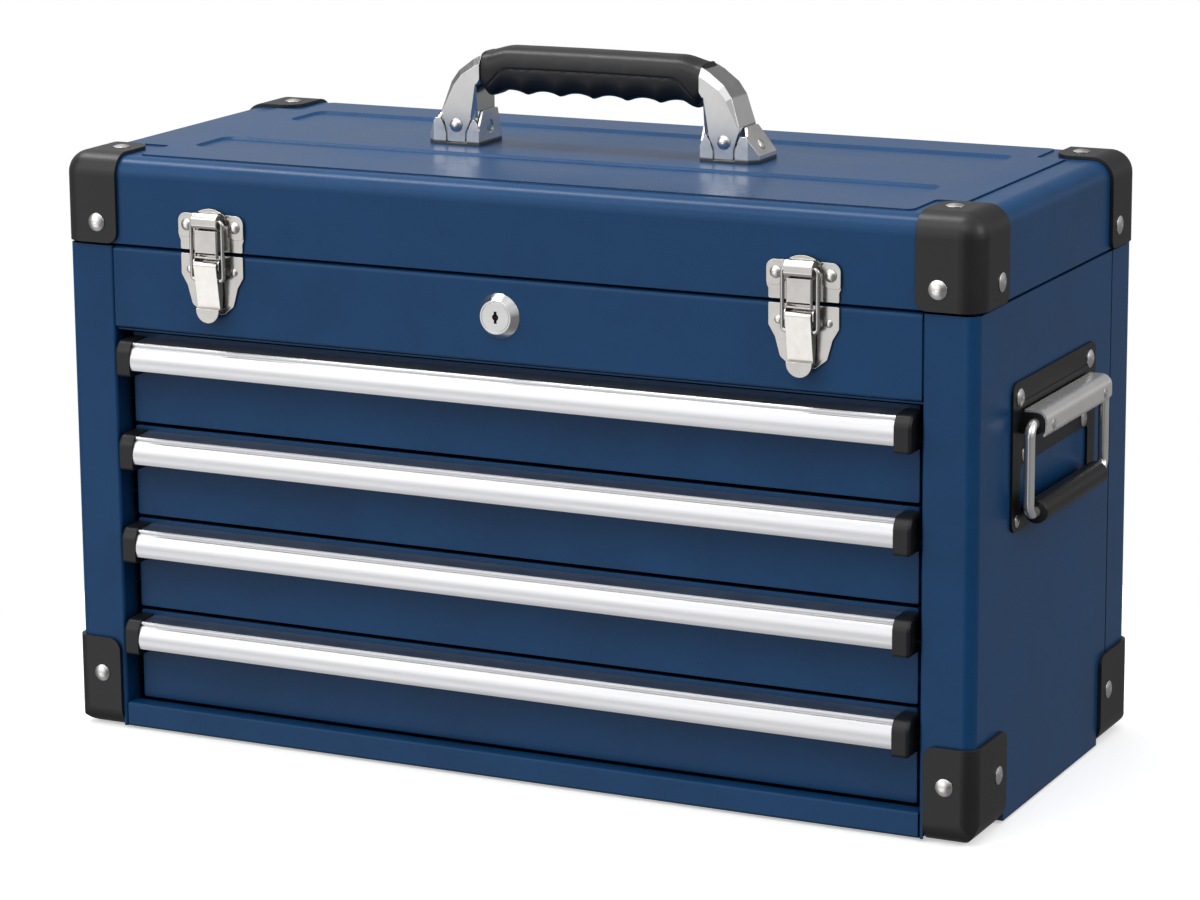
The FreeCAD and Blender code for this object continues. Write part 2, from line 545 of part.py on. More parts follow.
# ---------------------------------------------------------------- lock
bez = Part.makeCone(12.0, 8.8, 4.0, V(0, 0, LOCK_Z), V(0, -1, 0))
barrel = bez.fuse(cyl(9.4, (0, -0.2, LOCK_Z), (0, 1, 0), 18.2)).cut(cyl(7.75, (0, -6, LOCK_Z), (0, 1, 0), 30)).removeSplitter()
add("lock_barrel", "cabinet", barrel)
nut = prism("xz", [(13.5 * math.cos(math.radians(60 * k + 30)), LOCK_Z + 13.5 * math.sin(math.radians(60 * k + 30))) for k in range(6)], 0.6, T + 0.02, 4.2)
nut = nut.cut(cyl(9.42, (0, 0, LOCK_Z), (0, 1, 0), 10))
add("lock_nut", "cabinet", nut)
plug = cyl(7.7, (0, -4.0, LOCK_Z), (0, 1, 0), 22.6)
plug = plug.fuse(cyl(3.0, (0, 18.5, LOCK_Z), (0, 1, 0), 3.4))
plug = plug.cut(box(-0.75, 0.75, -5, 6, LOCK_Z - 3.3, LOCK_Z + 3.0)).cut(cyl(1.75, (0, -5, LOCK_Z), (0, 1, 0), 11)).removeSplitter()
add("lock_plug", "lock", plug)
cam = prism("xz", [(-5.5, LOCK_Z + 5.5), (-5.5, LOCK_Z - 5.5), (16.5, LOCK_Z - 4.2), (16.5, LOCK_Z + 4.2)], [5.2, 5.2, 3.5, 3.5], 18.65, 20.25)
cam = cam.cut(cyl(3.02, (0, 10, LOCK_Z), (0, 1, 0), 20))
add("lock_cam", "lock", cam)


# ---------------------------------------------------------------- drawers
def pull_profile():
    """Section of the aluminium pull (y, z from the drawer's lower edge): ledge, lip, groove, bowed face."""
    y0 = DR_FRONT
    zt = 46.8
    pts_out = [
        (y0, zt), (-1.7, zt - 1.0), (-2.5, zt - 0.7), (-3.3, zt - 1.4), (-3.3, zt - 2.2), (-3.0, zt - 2.9), (-4.1, zt - 3.6),
    ]
    a = V(-4.1, zt - 3.6, 0)
    m = V(PULL_Y, zt - 9.4, 0)
    b = V(-5.5, zt - 15.0, 0)
    e = []
    p = [V(q[0], q[1], 0) for q in pts_out]
    for i in range(len(p) - 1):
        e.append(Part.makeLine(p[i], p[i + 1]))
    e.append(Part.Arc(a, m, b).toShape())
    c = V(-4.5, zt - 15.6, 0)
    e.append(Part.Arc(b, V(-5.25, zt - 15.5, 0), c).toShape())
    d = V(-3.4, zt - 14.9, 0)
    e.append(Part.Arc(c, V(-3.7, zt - 15.5, 0), d).toShape())
    m2 = V(PULL_Y + 1.9, zt - 9.4, 0)
    f = V(-2.2, zt - 4.6, 0)
    e.append(Part.Arc(d, m2, f).toShape())
    rest = [f, V(-1.2, zt - 2.8, 0), V(y0 - 1.6, zt - 1.9, 0), V(y0 - 1.6, zt - 14.0, 0), V(y0, zt - 14.0, 0), p[0]]
    for i in range(len(rest) - 1):
        e.append(Part.makeLine(rest[i], rest[i + 1]))
    return Part.Wire(e)


pull_face = Part.Face(pull_profile())
pull0 = place(pull_face.extrude(V(0, 0, 2 * PULL_HW)), "yz", -PULL_HW)
if pull0.Volume < 0:
    pull0.reverse()

# black end cap, a closed block a little larger than the pull's section
EC_X = 228.4           # outer ends of the caps, a little wider than the drawer front
ec = prism("yz", [(DR_FRONT, 27.6), (DR_FRONT, 47.4), (-3.2, 46.9), (-6.5, 42.2), (-6.5, 27.6)], [0, 1.0, 4.0, 6.0, 2.2], PULL_HW + 0.05, EC_X)
ec_edges = [e for e in ec.Edges if all(abs(v.Point.x - EC_X) < 0.01 for v in e.Vertexes) and min(v.Point.y for v in e.Vertexes) < DR_FRONT - 0.1]
try:
    ec = ec.makeFillet(1.8, ec_edges)
except Exception:
    pass
# tongue that plugs into the hollow of the pull
ec = ec.fuse(box(PULL_HW - 6.0, PULL_HW + 1.0, -1.0, DR_FRONT - 1.7, 36.5, 43.8)).removeSplitter()
ecap = group(ec, mirror_x(ec))

mem = strip("xz", [(230.8, RUN_Z - 8.7), (TRAY_HW + 1.0, RUN_Z - 8.7), (TRAY_HW + 1.0, RUN_Z + 8.7), (230.8, RUN_Z + 8.7)], -1, T, [0, 1.0, 1.0, 0], 24.0, 204.0)

for i, z in enumerate(dr_z):
    n = i + 1
    # front: a shallow pan turned back on all four sides
    fo_ = prism("xz", [(-DR_HW, 0), (DR_HW, 0), (DR_HW, DR_H), (-DR_HW, DR_H)], 1.2, DR_FRONT, 16.9)
    fi_ = prism("xz", [(-DR_HW + T, T), (DR_HW - T, T), (DR_HW - T, DR_H - T), (-DR_HW + T, DR_H - T)], 0.6, DR_FRONT + T, 18.0)
    front = fo_.cut(fi_)
    # the top edge is only a short hem
    front = front.cut(box(-DR_HW + T, DR_HW - T, DR_FRONT + 2.6, 18.0, DR_H - T - 0.5, DR_H + 1))
    tray = box(-TRAY_HW, TRAY_HW, DR_FRONT + T - 0.2, TRAY_BACK, T, T + TRAY_H)
    tray = tray.cut(box(-TRAY_HW + T, TRAY_HW - T, DR_FRONT + 2 * T, TRAY_BACK - T, 2 * T, 80))
    tray = tray.cut(box(-TRAY_HW + T, TRAY_HW - T, DR_FRONT + 0.5, DR_FRONT + 2 * T + 0.1, 6.0, 80))
    body = front.fuse(tray)
    body = body.removeSplitter()
    body.translate(V(0, 0, z))
    add("drawer_%d_tray" % n, "drawer_%d" % n, body)
    q = pull0.copy(); q.translate(V(0, 0, z))
    add("drawer_%d_pull" % n, "drawer_%d" % n, q)
    q = ecap.copy(); q.translate(V(0, 0, z))
    add("drawer_%d_end_caps" % n, "drawer_%d" % n, group(q))
    m1 = mem.copy(); m1.translate(V(0, 0, z))
    add("drawer_%d_runners" % n, "drawer_%d" % n, group(m1, mirror_x(m1)))


# ---------------------------------------------------------------- side handles
PT = 1.3
px0 = HALF_W
sh_plate = prism("yz", [(SH_Y - 61.5, 148.0), (SH_Y + 61.5, 148.0), (SH_Y + 61.5, 224.5), (SH_Y - 61.5, 224.5)], 6.0, px0, px0 + PT)
window = prism("yz", [(SH_Y - 50.0, 156.5), (SH_Y + 50.0, 156.5), (SH_Y + 50.0, 181.5), (SH_Y - 50.0, 181.5)], 3.0, px0 - 1, px0 + 3)
rib = prism("yz", [(SH_Y - 50.0, 211.8), (SH_Y + 50.0, 211.8), (SH_Y + 50.0, 213.6), (SH_Y - 50.0, 213.6)], 0.8, px0 + 1, px0 + PT + 0.5)
sh_plate = sh_plate.cut(window).fuse(rib).removeSplitter()
SHW = 2.8
# the plate's top is rolled round the bail, and a thin bright cover goes over the roll
KH = 49.5
knuckle = cyl(5.6, (SH_X, SH_Y - KH, SH_Z), (0, 1, 0), 2 * KH).fuse(box(px0 + 0.5, SH_X, SH_Y - KH, SH_Y + KH, SH_Z - 5.6, SH_Z + 5.6))
bore_s = cyl(SHW + 0.07, (SH_X, SH_Y - 60, SH_Z), (0, 1, 0), 120)
sh_plate = sh_plate.fuse(knuckle).cut(bore_s).removeSplitter()
ret = strip("xz", [(px0 + 2.6, SH_Z + 6.7), (SH_X + 6.7, SH_Z + 6.7), (SH_X + 6.7, SH_Z - 4.4), (SH_X + 5.2, SH_Z - 6.4)],
            -1, 1.1, [0, 6.2, 2.5, 0], SH_Y - KH + 0.6, SH_Y + KH - 0.6)
GZ = SH_Z - 45.6
LEGY = 56.0
ring = [(SH_X, SH_Y - 20.0, SH_Z), (SH_X, SH_Y - LEGY, SH_Z), (SH_X, SH_Y - LEGY, GZ), (SH_X, SH_Y + LEGY, GZ), (SH_X, SH_Y + LEGY, SH_Z), (SH_X, SH_Y + 20.0, SH_Z)]
sh_bail = wire(ring, SHW, 6.2).fuse(cyl(SHW, (SH_X, SH_Y - 20.0, SH_Z), (0, 1, 0), 40.0)).removeSplitter()
grip_s = cyl(6.4, (SH_X, SH_Y - 46.5, GZ), (0, 1, 0), 93.0)
ge = [e for e in grip_s.Edges if e.Curve.TypeId == "Part::GeomCircle"]
grip_s = grip_s.makeFillet(1.5, ge).cut(cyl(SHW + 0.02, (SH_X, SH_Y - 60, GZ), (0, 1, 0), 120))
add("side_handle_seats", "cabinet", group(ret, mirror_x(ret)))
for sx, nm in ((1, "right"), (-1, "left")):
    f_ = (lambda s: s) if sx > 0 else mirror_x
    add("side_handle_plate_" + nm, "cabinet", f_(sh_plate))
    add("side_handle_bail_" + nm, "side_handle_" + nm, f_(sh_bail))
    add("side_handle_grip_" + nm, "side_handle_" + nm, f_(grip_s))
    for (yy, zz) in ((-52.0, 216.2), (52.0, 216.2), (-44.0, 186.0), (44.0, 186.0), (-54.5, 153.6), (54.5, 153.6)):
        if zz > 200:
            rivet("fitting_rivets_cabinet", "cabinet", (sx * (px0 + PT), SH_Y + yy, zz), (sx, 0, 0), 4.8, 2.0, 1.8, 2.36)
        else:
            rivet("fitting_rivets_cabinet", "cabinet", (sx * (px0 + PT), SH_Y + yy, zz), (sx, 0, 0), 4.3 if zz > 170 else 3.2, 1.2, 1.8, 2.36)
    for yy in (-39.0, 39.0):
        rivet("fitting_rivets_cabinet", "cabinet", (sx * (SH_X + 6.7), SH_Y + yy, SH_Z - 1.5), (sx, 0, 0), 2.7, 0.7, 1.2, 2.4, False)


# ---------------------------------------------------------------- top handle
Z0 = LID_TOP + PLATEAU            # the feet stand on the raised part of the lid
FY0, FY1 = HAND_Y - 13.5, HAND_Y + 13.5
BT = 1.2
EX_IN, EX_OUT = 65.0, 97.0
CH = 4.6                          # the outer front corner of each foot is bevelled
BAND = 4.2                        # upright band round the foot, the outer wall leans in above it
TOPX, TOPZ = 88.9, Z0 + 18.6
LEAN = (EX_OUT - TOPX) / (TOPZ - Z0 - BAND)
foot = prism("xz", [(EX_IN, Z0), (EX_OUT, Z0), (EX_OUT, Z0 + BAND), (TOPX, TOPZ), (EX_IN, TOPZ)], [0, 0, 0.6, 0, 0], FY0, FY1)
foot = foot.cut(prism("xy", [(EX_OUT - CH - 1, FY0 - 1), (EX_OUT + 1, FY0 - 1), (EX_OUT + 1, FY0 + CH + 1)], 0, Z0 - 1, TOPZ + 1))
tl = BT * math.sqrt(1 + LEAN * LEAN)
room = prism("xz", [(EX_IN + BT, Z0 + BT), (EX_OUT - BT, Z0 + BT), (EX_OUT - BT, Z0 + BAND - 0.31), (TOPX - tl, TOPZ), (TOPX - tl - 2.0 * LEAN, TOPZ + 2.0), (EX_IN + BT, TOPZ + 2.0)],
             0, FY0 + BT, FY1 + 1)
ci = CH + BT * math.sqrt(2)
room = room.cut(prism("xy", [(EX_OUT - ci - 1, FY0 - 1), (EX_OUT + 2, FY0 - 1), (EX_OUT + 2, FY0 + ci + 2)], 0, Z0 - 1, TOPZ + 3))
walls = foot.cut(room)
ear_pts = [(FY0 - 1, Z0), (FY1, Z0), (FY1, Z0 + 3.0), (HAND_Y + 8.9, TOPZ), (HAND_Y - 8.2, TOPZ), (FY0, Z0 + 8.6), (FY0 - 1, Z0 + 8.6)]
ear_in = walls.common(prism("yz", ear_pts, [0, 0, 1.2, 1.4, 1.2, 1.2, 0], EX_IN - 1, EX_IN + BT))
side_pts = [(FY0 - 1, Z0), (FY1, Z0), (FY1, Z0 + 4.4), (HAND_Y + 7.7, TOPZ - 0.2), (HAND_Y - 6.6, TOPZ - 0.2), (FY0 + 2.6, Z0 + 14.3), (FY0 - 1, Z0 + 14.3)]
outer_wall = walls.common(prism("yz", side_pts, [0, 0, 1.2, 1.4, 1.6, 1.0, 0], 76.0, 110.0))
front_wall = walls.common(box(EX_IN, 76.0, FY0 - 1, FY1 + 1, Z0 - 1, Z0 + 20)).cut(box(EX_IN - 1, EX_IN + BT, FY0 + BT, FY1 + 1, Z0 + BT, Z0 + 30))
bracket = ear_in.fuse(outer_wall).fuse(front_wall)
# the front is cut out round the leg, which leaves two wings
gap = prism("xz", [(72.4, Z0 + BT), (84.95, Z0 + BT), (84.95, Z0 + 6.2), (87.3, Z0 + 12.8), (88.3, Z0 + 14.3), (105.0, Z0 + 14.3), (105.0, Z0 + 30), (60.0, Z0 + 30),
                    (60.0, Z0 + 7.2), (64.6, Z0 + 7.2), (66.8, Z0 + 12.4), (68.2, Z0 + 14.6), (70.4, Z0 + 11.4), (72.4, Z0 + 6.0)],
            [0, 0, 3.0, 2.0, 0.3, 0, 0, 0, 0, 2.0, 2.0, 0.5, 2.5, 3.0], FY0 - 1, FY0 + BT)
bracket = bracket.cut(gap)
bracket = bracket.cut(cyl(2.5, (60, HAND_Y, HAND_PIN_Z), (1, 0, 0), 50))
bracket = bracket.cut(cyl(3.6, (60, HAND_Y, HAND_PIN_Z), (1, 0, 0), EX_IN + 0.5 - 60)).removeSplitter()
add("handle_brackets", "lid", group(bracket, mirror_x(bracket)))
# the pin's outer head lies flat on the leaning wall
xf = EX_OUT - LEAN * (HAND_PIN_Z - Z0 - BAND)
nl = math.sqrt(1 + LEAN * LEAN)
hp = cyl(2.5, (EX_IN + 0.3, HAND_Y, HAND_PIN_Z), (1, 0, 0), 34.0).common(foot)
hp = hp.fuse(dome(2.9, 1.0, (xf, HAND_Y, HAND_PIN_Z), (1 / nl, 0, LEAN / nl))).removeSplitter()
add("handle_pins", "lid", group(hp, mirror_x(hp)))

# legs: pressed box sections, the front face narrow at the foot between the bracket's wings
LY0, LY1 = FY0 + 0.0, FY0 + 22.0
WEB = 87.2                        # outer face of the web down at the bracket
WIN = 66.6                        # inner face of the inner web
out_edge = [(WEB, 331.6), (WEB, 334.4), (82.2, 349.4), (77.7, 355.7), (69.4, 361.9)]
front_pts = [(73.3, Z0 + 1.9), (84.05, Z0 + 1.9), (84.1, Z0 + 7.0), (86.5, Z0 + 14.6)] + out_edge + \
            [(64.4, 364.6), (64.4, 351.6), (WIN, 348.4), (WIN, 334.2), (69.3, 331.0), (71.0, 327.0), (73.2, 322.4)]
front_r = [0.8, 0.8, 3, 1, 0.5, 3, 4, 4, 3, 0.5, 1.2, 2.5, 0.4, 2, 4, 3]
full = prism("xz", front_pts, front_r, LY0, LY1)
IW = WEB - BT
hollow = prism("xz", [(WIN + BT, 300), (IW, 300), (IW, 334.2), (81.05, 349.0), (76.85, 354.8), (68.75, 360.9), (50.0, 371.0), (50.0, 352.8), (65.4, 352.8), (WIN + BT, 349.2)],
               [0, 0, 2, 3, 3, 2, 0, 0, 0.5, 1.5], LY0 + BT, LY1 - BT)
KF = 0.8                          # depth of a bevel against its width on the front face


def bevel_cut(a, b, wa, wb, ea, eb, shift=0.0):
    """Wedge over the front edge from a to b (x, z); wa and wb are the bevel's widths on the front face."""
    d = V(b[0] - a[0], 0, b[1] - a[1])
    ln = d.Length
    d = d.multiply(1.0 / ln)
    n = V(d.z, 0, -d.x)
    rings = []
    for (p, w, e) in ((a, wa - (wb - wa) / ln * ea, -ea), (b, wb + (wb - wa) / ln * eb, eb)):
        q = V(p[0] + d.x * e, LY0, p[1] + d.z * e)
        pts = []
        for (u, v) in ((-w - 2.0, -2.0 * KF), (3.0, KF * (w + 3.0)), (3.0, -2.0 * KF)):
            r_ = math.sqrt(1 + KF * KF)
            u2, v2 = u - shift * KF / r_, v + shift / r_
            pts.append(q + V(n.x * u2, v2, n.z * u2))
        rings.append(pts)
    r0, r1 = rings
    quads = [[r0[i], r0[(i + 1) % 3], r1[(i + 1) % 3], r1[i]] for i in range(3)] + [r0, r1]
    w_ = Part.makeSolid(Part.makeShell([Part.Face(Part.makePolygon(q + [q[0]])) for q in quads]))
    if w_.Volume < 0:
        w_.reverse()
    return w_


bevels = [((69.4, 361.9), (64.4, 364.6), 3.8, 4.2, 5.0, 8.0), ((77.7, 355.7), (69.4, 361.9), 3.2, 3.8, 5.0, 5.0),
          ((82.2, 349.4), (77.7, 355.7), 2.8, 3.2, 4.0, 4.0), ((WEB, 334.4), (82.2, 349.4), 0.5, 2.8, 0.5, 5.0),
          ((WIN, 349.0), (WIN, 334.2), 0.4, 2.8, 0.0, 4.0)]
full_b, hol_b = full, hollow
for bv in bevels:
    full_b = full_b.cut(bevel_cut(*bv))
    hol_b = hol_b.cut(bevel_cut(*bv, shift=BT))
leg = full_b.cut(hol_b)
# below this height only the front face and the two webs go on, down into the bracket
leg = leg.cut(box(40, 120, LY0 + BT, LY1 + 1, 300, 334.2))
lug_pts = [(LY0, 334.6), (LY0, 331.0), (LY0 + 1.7, 330.4), (LY0 + 1.7, 323.5), (LY0 + 3.6, 318.8), (LY0 + 7.0, 317.1), (HAND_Y + 0.5, 317.2), (HAND_Y + 5.6, 319.9), (HAND_Y + 7.4, 325.4), (LY1, 332.4), (LY1, 334.6)]
lug = prism("yz", lug_pts, [0, 0.6, 0.8, 3, 3, 2, 2.5, 3.5, 5, 2, 0], 0, BT)
l1 = lug.copy(); l1.translate(V(WIN, 0, 0))
l2 = lug.copy(); l2.translate(V(IW, 0, 0))
l1 = l1.cut(bevel_cut(*bevels[4]))
l2 = l2.cut(bevel_cut(*bevels[3]))
leg = leg.fuse(l1).fuse(l2)
leg = leg.cut(cyl(2.56, (60, HAND_Y, HAND_PIN_Z), (1, 0, 0), 40))
leg = leg.removeSplitter()
add("handle_legs", "handle", group(leg, mirror_x(leg)))

# grip: one moulded piece with finger grooves, its ends let into the legs
gh = 12.2
gy = HAND_Y - 0.7
gp = [(-57.0, 370.6), (57.0, 370.6), (73.2, 362.5), (66.0, 352.0), (61.0, 343.4), (-61.0, 343.4), (-66.0, 352.0), (-73.2, 362.5)]
g = prism("xz", gp, [12, 12, 2.5, 6, 3.5, 3.5, 6, 2.5], gy - gh, gy + gh)
long_edges = []
for e in g.Edges:
    b = e.BoundBox
    if b.YLength < 0.01:
        long_edges.append(e)
try:
    g = g.makeFillet(7.5, long_edges)
except Exception as ex:
    print("grip fillet", ex)
for k in range(5):
    x = -44.0 + 22.0 * k
    g = g.cut(cyl(22.0, (x, gy - 30, 343.4 - 20.4), (0, 1, 0), 60))
g_mid = g.common(box(-64.3, 64.3, -50, 300, 300, 400))
core = prism("xz", [(63.6, 361.4), (63.6, 353.4), (66.2, 353.4), (70.0, 351.4), (73.6, 351.6), (72.4, 356.4), (68.6, 359.4)], [0, 0, 0, 1, 1, 2, 2], LY0 + BT + 3.4, LY1 - BT - 0.1)
core = core.cut(leg)
over = prism("xz", [(61.0, 371.0), (61.0, 366.5), (64.4, 364.75), (66.2, 363.75), (66.7, 364.7), (64.8, 368.0)], [0, 0, 0, 0.3, 0.5, 3], gy - 9.0, gy + 9.0)
over = over.common(g).cut(leg)
grip = g_mid.cut(leg).cut(mirror_x(leg))
grip = grip.fuse(core).fuse(mirror_x(core)).fuse(over).fuse(mirror_x(over)).removeSplitter()
add("handle_grip", "handle", grip)
for sx in (1, -1):
    for dy in (-5.0, 4.0):
        rivet("fitting_rivets_lid", "lid", (sx * 80.0, HAND_Y + dy, Z0 + BT), (0, 0, 1), 2.4, 0.9, 1.3, BT + T + 0.06)
    rivet("handle_rivets", "handle", (sx * 78.7, LY0, 326.2), (0, -1, 0), 3.7, 2.0, 1.8, 2.2)


# ---------------------------------------------------------------- rivets: heads, shanks and their holes
made = {}
for name, body, s, shank in rivet_jobs:
    made.setdefault((name, body), []).append(s)
    bb = s.BoundBox
    for n in list(nodes):
        if body_of[n] != body:
            continue
        if not nodes[n].BoundBox.intersect(bb):
            continue
        c = nodes[n].common(s)
        if c.Volume > 1e-4:
            parts = [q.cut(s) if q.BoundBox.intersect(bb) else q for q in nodes[n].Solids]
            out = []
            for q in parts:
                out += q.Solids
            nodes[n] = Part.makeCompound(out) if len(out) > 1 else out[0]
for (name, body), ss in made.items():
    add(name, body, group(*ss))

# ---------------------------------------------------------------- write
os.makedirs("parts", exist_ok=True)
for f in os.listdir("parts"):
    if f.endswith(".step") and f[:-5] not in nodes:
        os.remove(os.path.join("parts", f))
lo_, hi_ = V(1e9, 1e9, 1e9), V(-1e9, -1e9, -1e9)
for name in sorted(nodes):
    s = nodes[name]
    s = s.copy()
    s.translate(V(-ORIGIN.x, -ORIGIN.y, -ORIGIN.z))
    ok = s.isValid()
    vols = [round(q.Volume, 1) for q in s.Solids]
    b = s.BoundBox
    print("%-24s %-18s solids %2d valid %s vol %.1f  box X %.1f..%.1f Y %.1f..%.1f Z %.1f..%.1f" % (
        name, body_of[name], len(s.Solids), ok, sum(vols), b.XMin, b.XMax, b.YMin, b.YMax, b.ZMin, b.ZMax))
    if any(v <= 0 for v in vols):
        print("   NEGATIVE", vols)
    lo_ = V(min(lo_.x, b.XMin), min(lo_.y, b.YMin), min(lo_.z, b.ZMin))
    hi_ = V(max(hi_.x, b.XMax), max(hi_.y, b.YMax), max(hi_.z, b.ZMax))
    s.exportStep("parts/" + name + ".step")
print("nodes", len(nodes), "box", [round(v, 2) for v in (lo_.x, hi_.x, lo_.y, hi_.y, lo_.z, hi_.z)])
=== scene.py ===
import bpy
import math
from mathutils import Matrix, Vector


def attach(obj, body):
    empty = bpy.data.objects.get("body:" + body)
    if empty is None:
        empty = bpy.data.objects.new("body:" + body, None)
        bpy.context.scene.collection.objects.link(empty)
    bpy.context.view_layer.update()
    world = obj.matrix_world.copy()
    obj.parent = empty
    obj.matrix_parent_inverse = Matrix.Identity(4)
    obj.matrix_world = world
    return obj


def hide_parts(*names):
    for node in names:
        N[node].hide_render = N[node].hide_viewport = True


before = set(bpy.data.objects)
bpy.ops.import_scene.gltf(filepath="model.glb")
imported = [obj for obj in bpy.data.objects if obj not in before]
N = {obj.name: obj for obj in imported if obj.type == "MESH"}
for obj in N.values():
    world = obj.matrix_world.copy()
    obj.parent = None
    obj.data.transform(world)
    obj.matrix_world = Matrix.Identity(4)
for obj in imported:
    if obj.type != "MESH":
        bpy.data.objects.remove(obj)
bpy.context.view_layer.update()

# the part's frame against the drawing's: x same, y moved back, z up by the feet
OY = 113.45
FOOT = 1.5


def P(x, y, z):
    return Vector((x / 1000.0, (y - OY) / 1000.0, (z + FOOT) / 1000.0))


# lowest point of the handle feet, for the painted shade along their lower edge
FOOT_Z = min(v.co.z for v in N["handle_brackets"].data.vertices)


# ------------------------------------------------------------------ node helpers
class Tree:
    """Small helper to write a material's nodes."""

    def __init__(self, mat):
        mat.use_nodes = True
        self.t = mat.node_tree
        self.t.nodes.clear()
        self.out = self.t.nodes.new("ShaderNodeOutputMaterial")
        self.coord = self.t.nodes.new("ShaderNodeTexCoord")
        self.x = 0

    def new(self, kind, **props):
        n = self.t.nodes.new(kind)
        for k, v in props.items():
            setattr(n, k, v)
        self.x += 40
        n.location = (self.x, 0)
        return n

    def link(self, a, b):
        self.t.links.new(a, b)

    def set(self, n, **vals):
        for k, v in vals.items():
            n.inputs[k.replace("_", " ")].default_value = v
        return n

    def mapping(self, scale, rot=(0, 0, 0)):
        m = self.new("ShaderNodeMapping")
        self.link(self.coord.outputs["Object"], m.inputs["Vector"])
        m.inputs["Scale"].default_value = scale
        m.inputs["Rotation"].default_value = rot
        return m.outputs["Vector"]

    def noise(self, vec, scale, detail=2.0, rough=0.5, dist=0.0):
        n = self.new("ShaderNodeTexNoise")
        if vec is not None:
            self.link(vec, n.inputs["Vector"])
        n.inputs["Scale"].default_value = scale
        n.inputs["Detail"].default_value = detail
        n.inputs["Roughness"].default_value = rough
        n.inputs["Distortion"].default_value = dist
        return n.outputs["Fac"]

    def voronoi(self, vec, scale, feature="F1", out="Distance", rand=1.0):
        n = self.new("ShaderNodeTexVoronoi", feature=feature)
        if vec is not None:
            self.link(vec, n.inputs["Vector"])
        n.inputs["Scale"].default_value = scale
        n.inputs["Randomness"].default_value = rand
        return n.outputs[out]

    def ramp(self, fac, stops, interp="LINEAR"):
        r = self.new("ShaderNodeValToRGB")
        r.color_ramp.interpolation = interp
        el = r.color_ramp.elements
        el[0].position, el[0].color = stops[0][0], tuple(stops[0][1]) + (1,)
        el[1].position, el[1].color = stops[-1][0], tuple(stops[-1][1]) + (1,)
        for p, c in stops[1:-1]:
            e = el.new(p)
            e.color = tuple(c) + (1,)
        self.link(fac, r.inputs["Fac"])
        return r.outputs["Color"]

    def remap(self, fac, a, b, lo, hi):
        m = self.new("ShaderNodeMapRange")
        self.link(fac, m.inputs["Value"])
        m.inputs["From Min"].default_value = a
        m.inputs["From Max"].default_value = b
        m.inputs["To Min"].default_value = lo
        m.inputs["To Max"].default_value = hi
        return m.outputs["Result"]

    def math(self, op, a, b=None, clamp=False):
        m = self.new("ShaderNodeMath", operation=op, use_clamp=clamp)
        for i, v in enumerate((a, b)):
            if v is None:
                continue
            if isinstance(v, (int, float)):
                m.inputs[i].default_value = v
            else:
                self.link(v, m.inputs[i])
        return m.outputs[0]

    def mix(self, fac, a, b, mode="MIX"):
        m = self.new("ShaderNodeMix", data_type="RGBA", blend_type=mode)
        for key, v in ((0, fac), (6, a), (7, b)):
            if isinstance(v, (int, float)):
                m.inputs[key].default_value = v
            elif isinstance(v, (tuple, list)):
                m.inputs[key].default_value = tuple(v) + (1,) if len(v) == 3 else v
            else:
                self.link(v, m.inputs[key])
        return m.outputs[2]

    def bump(self, height, dist, strength=1.0, normal=None):
        b = self.new("ShaderNodeBump")
        self.link(height, b.inputs["Height"])
        b.inputs["Distance"].default_value = dist
        b.inputs["Strength"].default_value = strength
        if normal is not None:
            self.link(normal, b.inputs["Normal"])
        return b.outputs["Normal"]

    def bevel(self, radius, samples=4):
        b = self.new("ShaderNodeBevel")
        b.samples = samples
        b.inputs["Radius"].default_value = radius
        return b.outputs["Normal"]

    def principled(self, **vals):
        p = self.new("ShaderNodeBsdfPrincipled")
        for k, v in vals.items():
            key = k.replace("_", " ")
            if isinstance(v, (int, float)):
                p.inputs[key].default_value = v
            elif isinstance(v, (tuple, list)):
                p.inputs[key].default_value = tuple(v) + (1,) if len(v) == 3 else v
            else:
                self.link(v, p.inputs[key])
        self.link(p.outputs["BSDF"], self.out.inputs["Surface"])
        return p


def material(name):
    m = bpy.data.materials.new(name)
    return m, Tree(m)


def powder_coat(name, base, rough=0.33, spec=0.26, var=0.10, bevel=0.0006):
    """Satin powder coat over pressed sheet: fine orange peel, faint waviness, light flecks, softened edges and
    painted shade in creases.
    """
    m, t = material(name)
    plain = t.mapping((1, 1, 1))
    peel = t.noise(plain, 620.0, 2.0, 0.55)
    fine = t.noise(plain, 2400.0, 1.0, 0.5)
    wave = t.noise(plain, 7.0, 1.0, 0.4)
    cloud = t.noise(plain, 18.0, 3.0, 0.6)
    lo = tuple(c * (1 - var) for c in base)
    hi = tuple(min(1, c * (1 + var)) for c in base)
    col = t.ramp(cloud, [(0.30, lo), (0.70, hi)])
    fleck = t.remap(fine, 0.62, 0.80, 0.0, 0.10)
    col = t.mix(fleck, col, tuple(min(1.0, c * 2.2 + 0.01) for c in base))
    # painted shade: ambient occlusion darkens the colour in creases, seams and recesses
    ao = t.new("ShaderNodeAmbientOcclusion")
    ao.samples = 4
    ao.inputs["Distance"].default_value = 0.007
    col = t.mix(t.remap(ao.outputs["AO"], 0.25, 0.75, 0.80, 0.0), col, tuple(c * 0.12 for c in base))
    r = t.remap(cloud, 0.3, 0.7, rough - 0.03, rough + 0.04)
    r = t.math("ADD", r, t.remap(fine, 0.3, 0.7, -0.02, 0.02))
    n = t.bevel(bevel)
    n = t.bump(wave, 0.0012, 0.10, n)
    n = t.bump(peel, 0.00006, 0.35, n)
    t.principled(Base_Color=col, Roughness=r, Normal=n, Specular_IOR_Level=spec)
    return m


